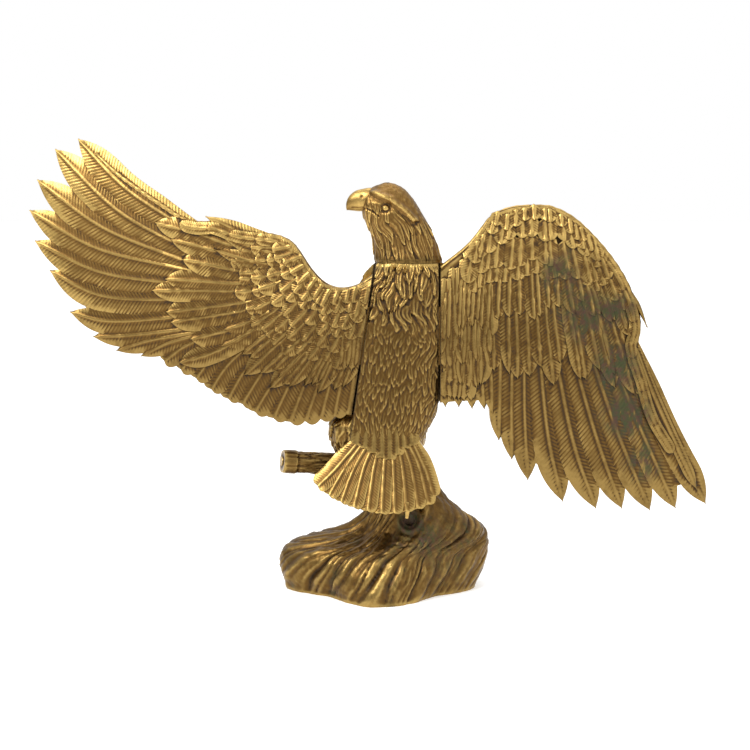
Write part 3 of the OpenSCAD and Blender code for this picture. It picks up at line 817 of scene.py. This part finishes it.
def leg(foot, hip, grip, top, side):
    """Feathered thigh, scaled shank and four clawed toes."""
    levels = np.linspace(92.5, 121, 54)
    r = ease(levels, THIGH_R)
    a = circle(130)
    slide = (np.array(hip) - foot)[:, None, None] * step(levels, 110, 124)[None, :, None]
    rings = np.dstack([foot[0] + slide[0] + r[:, None] * np.cos(a),
                       foot[1] + slide[1] + r[:, None] * np.sin(a), levels[:, None] + 0 * a])
    thigh = drum(feathered(rings, 13, 6.5, 1.5, 40 + side))
    shank = tube([(foot[0], foot[1], 101), (foot[0], foot[1], 94), (foot[0], foot[1], top + 1)],
                 [5.0, 4.2, 4.6], 28, 30, relief=lambda t, a: 0.25 * np.cos(t * np.pi * 18))
    toes = [s for angle in (45, 90, 135, 270)
            for s in toe(foot, angle, grip / abs(math.sin(math.radians(angle))), top)]
    return [thigh, shank] + toes, []


# The stump's limits by height, as shares of the base's half width and half depth.
BASE_RX, BASE_RY, TRUNK_H = 61.0, 46.0, 78.0
STUMP_LEFT = [(0, -0.95), (8, -1.02), (16, -1.03), (24, -0.97), (28, -0.82), (32, -0.48), (38, -0.27),
              (46, -0.16), (58, -0.15), (78, -0.13)]
STUMP_RIGHT = [(0, 0.92), (8, 0.96), (18, 1.02), (30, 1.04), (36, 1.02), (42, 0.91), (49, 0.72),
               (56, 0.6), (66, 0.5), (78, 0.41)]
STUMP_NEAR = [(0, -1), (8, -1), (18, -0.92), (28, -0.76), (38, -0.58), (48, -0.46), (60, -0.36),
              (78, -0.3)]
STUMP_FAR = [(0, 0.93), (8, 0.96), (20, 0.92), (34, 0.74), (46, 0.56), (60, 0.46), (78, 0.42)]


def times(table, size):
    """A table of (height, share) pairs in millimetres."""
    return [(z, v * size) for z, v in table]


def stump_rings(levels, columns, pull=0.0):
    """Rings of the stump with gaps between its roots, pulled in by some millimetres."""
    rings = loft(levels, times(STUMP_LEFT, BASE_RX), times(STUMP_RIGHT, BASE_RX),
                 times(STUMP_NEAR, BASE_RY), times(STUMP_FAR, BASE_RY), columns)
    a = circle(columns)
    gap = 0.24 * np.clip(1 - np.asarray(levels)[:, None] / 52, 0, 1) * (1 - np.cos(4 * a)) / 2
    centre = (rings.max(1, keepdims=True) + rings.min(1, keepdims=True)) / 2
    centre[..., 2] = 0
    flat = rings - centre
    span = np.maximum((rings.max(1) - rings.min(1)) / 2, 1)[:, None, :]
    share = (1 - gap)[..., None] * (1 - pull / span)
    share[..., 2] = 1
    return centre + flat * share


def ridged(points, size, seed):
    """Sharp-bottomed folds: 1 on the ridges and 0 in the creases."""
    return np.clip(np.abs(noise(points, size, seed)) * 2.2, 0, 1) ** 0.8


def stump():
    """Stump and roots, less the hollow under them and the pit of the knot."""
    rough = np.linspace(0, TRUNK_H, 400)
    limit = np.stack([ease(rough, times(t, s)) for t, s in
                      ((STUMP_LEFT, BASE_RX), (STUMP_RIGHT, BASE_RX), (STUMP_NEAR, BASE_RY))], 1)
    run = np.concatenate([[0], np.cumsum(np.sqrt(np.diff(rough) ** 2
                                                 + np.abs(np.diff(limit, axis=0)).max(1) ** 2))])
    rows, columns = 150, 420
    wanted = np.linspace(0, run[-1], rows)
    levels = np.interp(wanted, run, rough)
    rings = stump_rings(levels, columns)
    down = wanted[-1] - wanted[:, None]
    x, y = rings[..., 0] - 4, rings[..., 1]
    twist = np.arctan2(y, x) + 0.011 * down * step(down, 0, 60)
    wide = step(np.hypot(x, y), 26, 46)
    sway = 2.0 * np.dstack([noise(rings, 15.0, 61), noise(rings, 15.0, 62), 0 * x])
    height = 0.0
    for radius, share in ((24.0, 1 - wide), (46.0, wide)):
        where = np.dstack([radius * np.cos(twist), radius * np.sin(twist), down * 0.13 + 0 * x]) + sway
        folds = 2.6 * (ridged(where, 10.0, 63) - 0.6) + 1.2 * (ridged(where, 4.4, 64) - 0.6)
        height = height + share * (folds + 0.35 * (ridged(where, 2.0, 65) - 0.5))
    height += 0.12 * noise(rings, 1.2, 66) + 0.25 * noise(rings, 4.0, 67)
    knot = np.linalg.norm((rings - [16, -21, 46]) * [1, 0.4, 1], axis=2)
    height = height * step(knot, 6, 11) + 0.6 * bump(knot - 6.2, 1.3)
    foot = np.clip(levels / 3.0, 0, 1)[:, None]
    brim = np.clip((TRUNK_H - levels) / 2.0, 0, 1)[:, None]
    height = height * (0.35 + 0.65 * foot) * (0.3 + 0.7 * brim)
    n = normals_of(rings)
    n[..., 2] *= np.clip(levels / 6.0, 0, 1)[:, None]
    outer = rings + n * height[..., None]
    hollow = stump_rings(np.linspace(-2, 65, 40), 120, pull=7.0)
    pit = tube([(16, -20.5, 46), (16, -22, 46), (16, -34, 46)], [3.2, 4.2, 4.6], 40, 12)
    return [drum(outer)], [drum(hollow), pit]


def branch():
    """Side branch with its collar, its channel and the core at its end."""
    start, end = np.array([4, 4, 71.0]), np.array([-59, -14, 79.5])
    way = (end - start) / np.linalg.norm(end - start)
    path = [start + (end - start) * t for t in (0, 0.3, 0.6, 0.85, 1)]

    def bark(t, a):
        """Relief along the branch, t, and round it, a."""
        ring = np.stack(np.broadcast_arrays(7 * np.cos(a), 7 * np.sin(a), t * 12), -1)
        folds = 0.9 * (ridged(ring, 3.6, 71) - 0.5) + 0.25 * noise(ring * 3, 1.2, 72)
        collar = 0.9 * step(t, 0.86, 0.89)
        channel = -2.6 * step(np.cos(a - 0.25), 0.72, 0.86) * step(t, 0.2, 0.24) * (1 - step(t, 0.83, 0.86))
        lips = 0.5 * bump(np.cos(a - 0.25) - 0.66, 0.06) * step(t, 0.2, 0.3) * (1 - step(t, 0.8, 0.86))
        ends = 1 - step(t, 0.975, 1.0) * 0.25
        return (folds * (1 - 0.6 * step(t, 0.85, 0.9)) + collar + channel + lips) * ends

    wood = tube(path, [7.2, 6.8, 6.4, 6.1, 6.0], 96, 150, relief=bark)
    core = tube([end - way * 1.0, end + way * 0.3, end + way * 0.7], [3.6, 3.4, 2.6], 40, 10)
    return [wood, core], []


# ---- finishes

class Socket:
    """One output of a material's nodes, which can be added, multiplied and so on."""

    def __init__(self, tree, output=None):
        self.tree, self.output = tree, output

    def node(self, kind, settings=None, inputs=None, output=0):
        """Any node, from its type, its settings and the values or links of its sockets."""
        made = self.tree.nodes.new(kind)
        for key, value in (settings or {}).items():
            setattr(made, key, value)
        for key, value in (inputs or {}).items():
            if isinstance(value, Socket):
                self.tree.links.new(value.output, made.inputs[key])
            else:
                made.inputs[key].default_value = value
        return Socket(self.tree, made.outputs[output]) if made.outputs else made

    def maths(self, operation, first, second=0.0):
        """Sum, product and so on of two values."""
        return self.node("ShaderNodeMath", {"operation": operation}, {0: first, 1: second})

    def __add__(self, other):
        return self.maths("ADD", self, other)

    def __sub__(self, other):
        return self.maths("SUBTRACT", self, other)

    def __rsub__(self, other):
        return self.maths("SUBTRACT", other, self)

    def __mul__(self, other):
        return self.maths("MULTIPLY", self, other)

    __radd__ = __add__
    __rmul__ = __mul__

    def larger(self, other):
        """The larger of two values."""
        return self.maths("MAXIMUM", self, other)

    def between(self, low, high):
        """0 below low, 1 above high and smooth between."""
        return self.node("ShaderNodeMapRange", {"interpolation_type": "SMOOTHSTEP"},
                         {"Value": self, "From Min": low, "From Max": high})

    def blend(self, first, second):
        """First colour where this is 0, second where it is 1."""
        return self.node("ShaderNodeMix", {"data_type": "RGBA"}, {0: self, 6: first, 7: second}, 2)

    def cloud(self, place, scale, detail=3.0, rough=0.55):
        """Noise from 0 to 1 with scale lumps a metre."""
        return self.node("ShaderNodeTexNoise", {}, {"Vector": place, "Scale": scale, "Detail": detail,
                                                    "Roughness": rough}, "Fac")

    def near(self, place, spot, radius):
        """1 near a spot in metres, fading out beyond a radius."""
        gap = self.node("ShaderNodeVectorMath", {"operation": "DISTANCE"}, {0: place, 1: spot}, "Value")
        return 1 - gap.between(radius * 0.4, radius * 1.6)

    def surface(self, colour, roughness, metallic, normal):
        """Shader of a material, and the output that it feeds."""
        shader = self.node("ShaderNodeBsdfPrincipled", {}, {
            "Base Color": colour, "Roughness": roughness, "Metallic": metallic, "Normal": normal})
        self.node("ShaderNodeOutputMaterial", {}, {"Surface": shader})


def rgba(colour, share=1.0):
    """Opaque colour, darkened to a share."""
    return tuple(c * share for c in colour) + (1.0,)


def emptied(owner):
    """Sockets of a material or world, once its own nodes are gone."""
    owner.use_nodes = True
    owner.node_tree.nodes.clear()
    return Socket(owner.node_tree)


def brass(name, look, *, light=1.0, patina=0.0, spots=(), seams=(), painted_low_shade=(0.0, 0.001, 0.0)):
    """Worn cast brass: bright ridges, brown recesses with dirt and painted shade, and patina in patches.

    Spots are (place, radius, strength) of patina, seams are (foot, lean) of dark lines of dirt and
    painted shade along the joints, and the last argument, a painted shade that darkens the lower
    part, is the height that it covers, the height where it ends, and its share. All are in metres.
    """
    material = bpy.data.materials.new(name)
    s = emptied(material)
    place = s.node("ShaderNodeTexCoord", output="Object")
    fine = s.node("ShaderNodeAttribute", {"attribute_name": "fine_relief"}, output="Fac")
    broad = s.node("ShaderNodeAttribute", {"attribute_name": "broad_relief"}, output="Fac")
    lumps = s.cloud(place, 45.0)
    mottle = s.cloud(place, 260.0, 4.0, 0.65)
    grain = s.cloud(place, 1600.0, 2.0)
    height = fine * 0.5 + broad * 0.5 + (lumps - 0.5) * 0.22 + (mottle - 0.5) * 0.14
    raised = height.between(0.44, 0.92)
    # Sunk marks the hollows, which take the colour of dirt and painted shade.
    sunk = (1 - height.between(0.06, 0.5)).larger((1 - fine.between(0.1, 0.44)) * 0.8)
    # Light scales every colour of the piece: painted light and shade, set piece by piece for how brightly
    # each part is lit.
    base = raised.blend(rgba(look.brass, light), rgba(look.worn, light))
    aged = (lumps + mottle).between(0.85, 1.3) * 0.55
    base = aged.blend(base, rgba(look.aged, light))
    x, z = (s.node("ShaderNodeSeparateXYZ", {}, {"Vector": place}, k) for k in "XZ")
    # Painted shade: the piece is darker below a height, fading out upwards.
    low, high, share = painted_low_shade
    low_shade_share = (1 - z.between(low, high)) * share
    base = low_shade_share.blend(base, rgba(look.aged, 0.55 * light))
    # Dark lines of dirt and painted shade along the joints at the seam planes.
    for foot, lean in seams:
        away = x - z * lean - foot
        gap = away.maths("ABSOLUTE", away)
        sunk = sunk.larger((1 - gap.between(0.0003, 0.0014)) * 1.05)
    base = (sunk * 0.92).blend(base, rgba(look.groove_dirt_and_shade))
    streak = s.node("ShaderNodeMapping", {}, {"Vector": place, "Scale": (1.0, 1.0, 0.3)})
    green = (s.cloud(streak, 90.0, 5.0, 0.7)).between(0.6 - 0.12 * patina, 0.74) * (0.75 * patina)
    green = green * (1 - raised * 0.7)
    veins = s.cloud(streak, 230.0, 3.0, 0.6).between(0.3, 0.54)
    for spot, radius, strength in spots:
        green = green + s.near(place, spot, radius) * veins * strength
    green = green.between(0.0, 1.0)
    tint = mottle.between(0.4, 0.62).blend(rgba(look.patina), rgba(look.bruise))
    base = green.blend(base, tint)
    rough = look.roughness + sunk * 0.22 + green * 0.14 + (mottle - 0.5) * 0.16 - raised * 0.06
    metal = 1 - (sunk * 0.3 + green * 0.05)
    bumps = s.node("ShaderNodeBump", {}, {"Strength": 0.35, "Distance": 0.0004,
                                          "Height": mottle * 0.7 + grain * 0.3}, "Normal")
    s.surface(base, rough, metal, bumps)
    return material


def turned_metal(name, colour, roughness):
    """Turned or sawn metal with fine marks, for the fixings."""
    material = bpy.data.materials.new(name)
    s = emptied(material)
    place = s.node("ShaderNodeTexCoord", output="Object")
    stretched = s.node("ShaderNodeMapping", {}, {"Vector": place, "Scale": (1.0, 1.0, 12.0)})
    marks = s.cloud(stretched, 900.0, 3.0)
    stain = s.cloud(place, 120.0, 4.0).between(0.45, 0.7)
    base = (stain * 0.5).blend(rgba(colour), rgba(colour, 0.45))
    bumps = s.node("ShaderNodeBump", {}, {"Strength": 0.2, "Distance": 0.0002, "Height": marks}, "Normal")
    s.surface(base, roughness + marks * 0.12 + stain * 0.1, 1.0, bumps)
    return material


def make(name, shape, material, body, slot, *nodes, **style):
    """Cast a piece, give it its finish and its body, and hide the solids that it stands for."""
    piece = cast(name, *shape, **style)
    piece.data.materials.clear()
    piece.data.materials.append(material)
    piece.data.polygons.foreach_set("material_index", [0] * len(piece.data.polygons))
    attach(piece, body)
    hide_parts(*nodes)


# ---- settings

def colour_setting(name, description, value):
    """Colour that the sidebar shows."""
    return bpy.props.FloatVectorProperty(name=name, description=description, default=value, size=3,
                                         min=0.0, max=1.0, subtype="COLOR")


class EagleFinish(bpy.types.PropertyGroup):
    """Colours and dullness of the metals"""
    brass: colour_setting("Brass", "Ordinary face of the brass", (0.20, 0.108, 0.030))
    worn: colour_setting("Worn brass", "Rubbed ridges and edges", (0.60, 0.40, 0.125))
    aged: colour_setting("Aged brass", "Browner patches", (0.125, 0.066, 0.019))
    # Colour of the hollows: dirt, with painted shade.
    groove_dirt_and_shade: colour_setting("Recesses", "Dirt in the grooves", (0.032, 0.017, 0.006))
    patina: colour_setting("Patina", "Green bloom", (0.056, 0.062, 0.028))
    bruise: colour_setting("Dark patina", "Purple-brown bloom", (0.085, 0.050, 0.034))
    steel: colour_setting("Steel", "Fixings", (0.55, 0.55, 0.53))
    roughness: bpy.props.FloatProperty(name="Roughness", description="How dull the brass is",
                                       default=0.36, min=0.0, max=1.0, subtype="FACTOR")


class EagleStage(bpy.types.PropertyGroup):
    """Floor and lights"""
    floor: colour_setting("Floor", "Colour of the floor", (0.96, 0.96, 0.955))
    width: bpy.props.FloatProperty(name="Floor width", description="Width of the floor", default=12.0,
                                   min=1.0, unit="LENGTH")
    key: bpy.props.FloatProperty(name="Key light", description="Power of the large light on the left",
                                 default=11.0, min=0.0, unit="POWER")
    fill: bpy.props.FloatProperty(name="Fill light", description="Power of the light on the right",
                                  default=2.2, min=0.0, unit="POWER")


# ---- operators

FIXINGS = ("tongue", "stud", "washer", "nut")
# Seam planes of the wings: X at Z = 0 in metres, and lean.
LEFT_SEAM = ((-17.5 - (119 + BIRD_Z) * SEAM_LEAN) * MM, SEAM_LEAN)
RIGHT_SEAM = (33.3 * MM, 0.0)
CAMERA_PLACE, CAMERA_TILT_DEG, CAMERA_VIEW_DEG = (-0.0042, -0.84, 0.25), 81.8, 29.5
LAMP_TARGET = (0, 0, 0.15)


class MakeWings(bpy.types.Operator):
    """Both feathered wings"""
    bl_idname = "eagle.make_wings"
    bl_label = "Wings"

    def execute(self, context):
        look = context.scene.eagle_finish
        # Painted shade darkens the lower part of each wing.
        left = brass("left_wing_brass", look, light=0.98, patina=0.25, seams=(LEFT_SEAM,),
                     painted_low_shade=(0.12, 0.235, 0.7),
                     spots=(((-0.157, -0.01, 0.232), 0.006, 0.9), ((-0.135, -0.01, 0.222), 0.010, 0.35)))
        right = brass("right_wing_brass", look, light=0.95, patina=0.6, seams=(RIGHT_SEAM,),
                      painted_low_shade=(0.13, 0.23, 0.62),
                      spots=(((0.146, -0.01, 0.105), 0.014, 1.0), ((0.158, -0.01, 0.075), 0.013, 1.0),
                             ((0.138, -0.01, 0.135), 0.013, 0.9), ((0.120, -0.01, 0.165), 0.016, 0.8),
                             ((0.104, -0.01, 0.190), 0.012, 0.8), ((0.142, -0.01, 0.170), 0.010, 0.7)))
        make("left_wing", left_wing(), left, "left_wing", "wing_brass", "left_wing_casting", depth=0.9)
        make("right_wing", right_wing(), right, "right_wing", "wing_brass", "right_wing_casting", depth=0.7)
        return {"FINISHED"}


class MakeBody(bpy.types.Operator):
    """Body, head and beak"""
    bl_idname = "eagle.make_body"
    bl_label = "Body and head"

    def execute(self, context):
        # Painted shade darkens the lower body and the lowest rim of the head.
        metal = brass("body_brass", context.scene.eagle_finish, light=0.74, patina=0.3,
                      seams=(LEFT_SEAM, RIGHT_SEAM), painted_low_shade=(0.15, 0.19, 0.25))
        face_metal = brass("head_brass", context.scene.eagle_finish, light=0.95, patina=0.1,
                           painted_low_shade=(0.1975, 0.2025, 0.85))
        make("torso", torso(), metal, "stand", "body_brass", "torso_casting")
        make("head", head(), face_metal, "stand", "body_brass", "head_casting")
        return {"FINISHED"}


class MakeTail(bpy.types.Operator):
    """Ridged tail fan with its lug"""
    bl_idname = "eagle.make_tail"
    bl_label = "Tail"

    def execute(self, context):
        metal = brass("tail_brass", context.scene.eagle_finish, light=0.86, patina=0.3)
        make("tail", tail(), metal, "stand", "body_brass", "tail_casting", depth=1.5)
        return {"FINISHED"}


class MakeLegs(bpy.types.Operator):
    """Feathered thighs, toes and talons"""
    bl_idname = "eagle.make_legs"
    bl_label = "Legs"

    def execute(self, context):
        metal = brass("leg_brass", context.scene.eagle_finish, light=0.7, patina=0.3)
        left = leg((-19, 0), (-14, 2), 6.5, 91.0, 0)
        right = leg((14, 2), (14, 2), 26.0, 90.0, 1)
        make("left_leg", left, metal, "stand", "body_brass", "left_leg_casting")
        make("right_leg", right, metal, "stand", "body_brass", "right_leg_casting")
        return {"FINISHED"}


class MakeStump(bpy.types.Operator):
    """Hollow stump with its roots, and the side branch"""
    bl_idname = "eagle.make_stump"
    bl_label = "Stump and branch"

    def execute(self, context):
        look = context.scene.eagle_finish
        bark = brass("bark_brass", look, light=0.66, patina=0.95,
                     spots=(((0.045, -0.03, 0.030), 0.022, 0.5), ((0.016, -0.024, 0.046), 0.007, 0.9),
                            ((0.020, -0.030, 0.040), 0.012, 0.5)))
        wood = brass("branch_brass", look, light=0.62, patina=0.5)
        make("stump", stump(), bark, "stand", "stump_brass", "stump_casting", lift=0.0, depth=2.5)
        make("branch", branch(), wood, "stand", "stump_brass", "perch_branch", lift=0.0, depth=1.6)
        return {"FINISHED"}


class FinishFixings(bpy.types.Operator):
    """Tongues, studs, washer and nut"""
    bl_idname = "eagle.finish_fixings"
    bl_label = "Fixings"

    def execute(self, context):
        look = context.scene.eagle_finish
        sawn = turned_metal("sawn_brass", look.brass, 0.34)
        steel = turned_metal("turned_steel", look.steel, 0.28)
        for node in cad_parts:
            if not any(word in node for word in FIXINGS):
                continue
            metal = sawn if node.endswith("tongue") else steel
            for slot in bpy.data.objects[node].material_slots:
                slot.material = metal
        return {"FINISHED"}


class SetStage(bpy.types.Operator):
    """Pale floor, soft lights and the camera"""
    bl_idname = "eagle.set_stage"
    bl_label = "Stage"

    def execute(self, context):
        stage = context.scene.eagle_stage
        half = stage.width / 2
        mesh = bpy.data.meshes.new("floor")
        mesh.from_pydata([(-half, -half, 0), (half, -half, 0), (half, half, 0), (-half, half, 0)], [],
                         [(0, 1, 2, 3)])
        floor = bpy.data.objects.new("floor", mesh)
        context.scene.collection.objects.link(floor)
        paint = bpy.data.materials.new("floor_paint")
        paint.use_nodes = True
        pale = rgba(stage.floor)
        shader = paint.node_tree.nodes["Principled BSDF"]
        for socket, value in (("Base Color", pale), ("Roughness", 0.75), ("Specular IOR Level", 0.1),
                              ("Emission Color", pale), ("Emission Strength", 0.24)):
            shader.inputs[socket].default_value = value
        mesh.materials.append(paint)
        for name, place, size, power in (("key", (-0.75, -0.75, 1.05), 0.75, stage.key),
                                         ("fill", (1.1, -0.9, 0.55), 0.8, stage.fill),
                                         ("top", (0.1, 0.35, 1.2), 0.7, stage.fill)):
            lamp = bpy.data.lights.new(name, "AREA")
            lamp.size = size
            lamp.energy = power
            obj = bpy.data.objects.new(name, lamp)
            obj.location = place
            obj.rotation_euler = (Vector(LAMP_TARGET) - Vector(place)).to_track_quat("-Z", "Y").to_euler()
            context.scene.collection.objects.link(obj)
        world = bpy.data.worlds.new("studio")
        s = emptied(world)
        seen = s.node("ShaderNodeLightPath", output="Is Camera Ray")
        way = s.node("ShaderNodeTexCoord", output="Generated")
        up = s.node("ShaderNodeSeparateXYZ", {}, {"Vector": way}, "Z")
        glow = up.between(-0.25, 0.8).blend((0.3, 0.3, 0.31, 1), (1.25, 1.25, 1.25, 1))
        sky = seen.blend(glow, (1.0, 1.0, 1.0, 1))
        back = s.node("ShaderNodeBackground", {}, {"Color": sky, "Strength": 1.0})
        s.node("ShaderNodeOutputWorld", {}, {"Surface": back})
        context.scene.world = world
        context.scene.view_settings.view_transform = "Standard"
        camera = bpy.data.objects.new("camera", bpy.data.cameras.new("camera"))
        camera.location = CAMERA_PLACE
        camera.rotation_euler = (math.radians(CAMERA_TILT_DEG), 0, 0)
        camera.data.angle = math.radians(CAMERA_VIEW_DEG)
        context.scene.collection.objects.link(camera)
        context.scene.camera = camera
        return {"FINISHED"}


OPERATORS = (MakeWings, MakeBody, MakeTail, MakeLegs, MakeStump, FinishFixings, SetStage)


class EaglePanel(bpy.types.Panel):
    """Eagle tools"""
    bl_idname = "VIEW3D_PT_eagle"
    bl_label = "Eagle"
    bl_space_type = "VIEW_3D"
    bl_region_type = "UI"
    bl_category = "Eagle"

    def draw(self, context):
        """Every setting, then every operator."""
        for group in (context.scene.eagle_finish, context.scene.eagle_stage):
            for key in group.__annotations__:
                self.layout.prop(group, key)
        for operator in OPERATORS:
            self.layout.operator(operator.bl_idname)


CLASSES = (EagleFinish, EagleStage) + OPERATORS + (EaglePanel,)


def register():
    """Add the settings, the operators and the panel."""
    for cls in CLASSES:
        bpy.utils.register_class(cls)
    bpy.types.Scene.eagle_finish = bpy.props.PointerProperty(type=EagleFinish)
    bpy.types.Scene.eagle_stage = bpy.props.PointerProperty(type=EagleStage)


def unregister():
    """Take them away again."""
    del bpy.types.Scene.eagle_finish
    del bpy.types.Scene.eagle_stage
    for cls in reversed(CLASSES):
        bpy.utils.unregister_class(cls)


def main():
    """Make every piece."""
    register()
    bpy.ops.eagle.make_wings()
    bpy.ops.eagle.make_body()
    bpy.ops.eagle.make_tail()
    bpy.ops.eagle.make_legs()
    bpy.ops.eagle.make_stump()
    bpy.ops.eagle.finish_fixings()
    bpy.ops.eagle.set_stage()


if __name__ == "__main__":
    main()
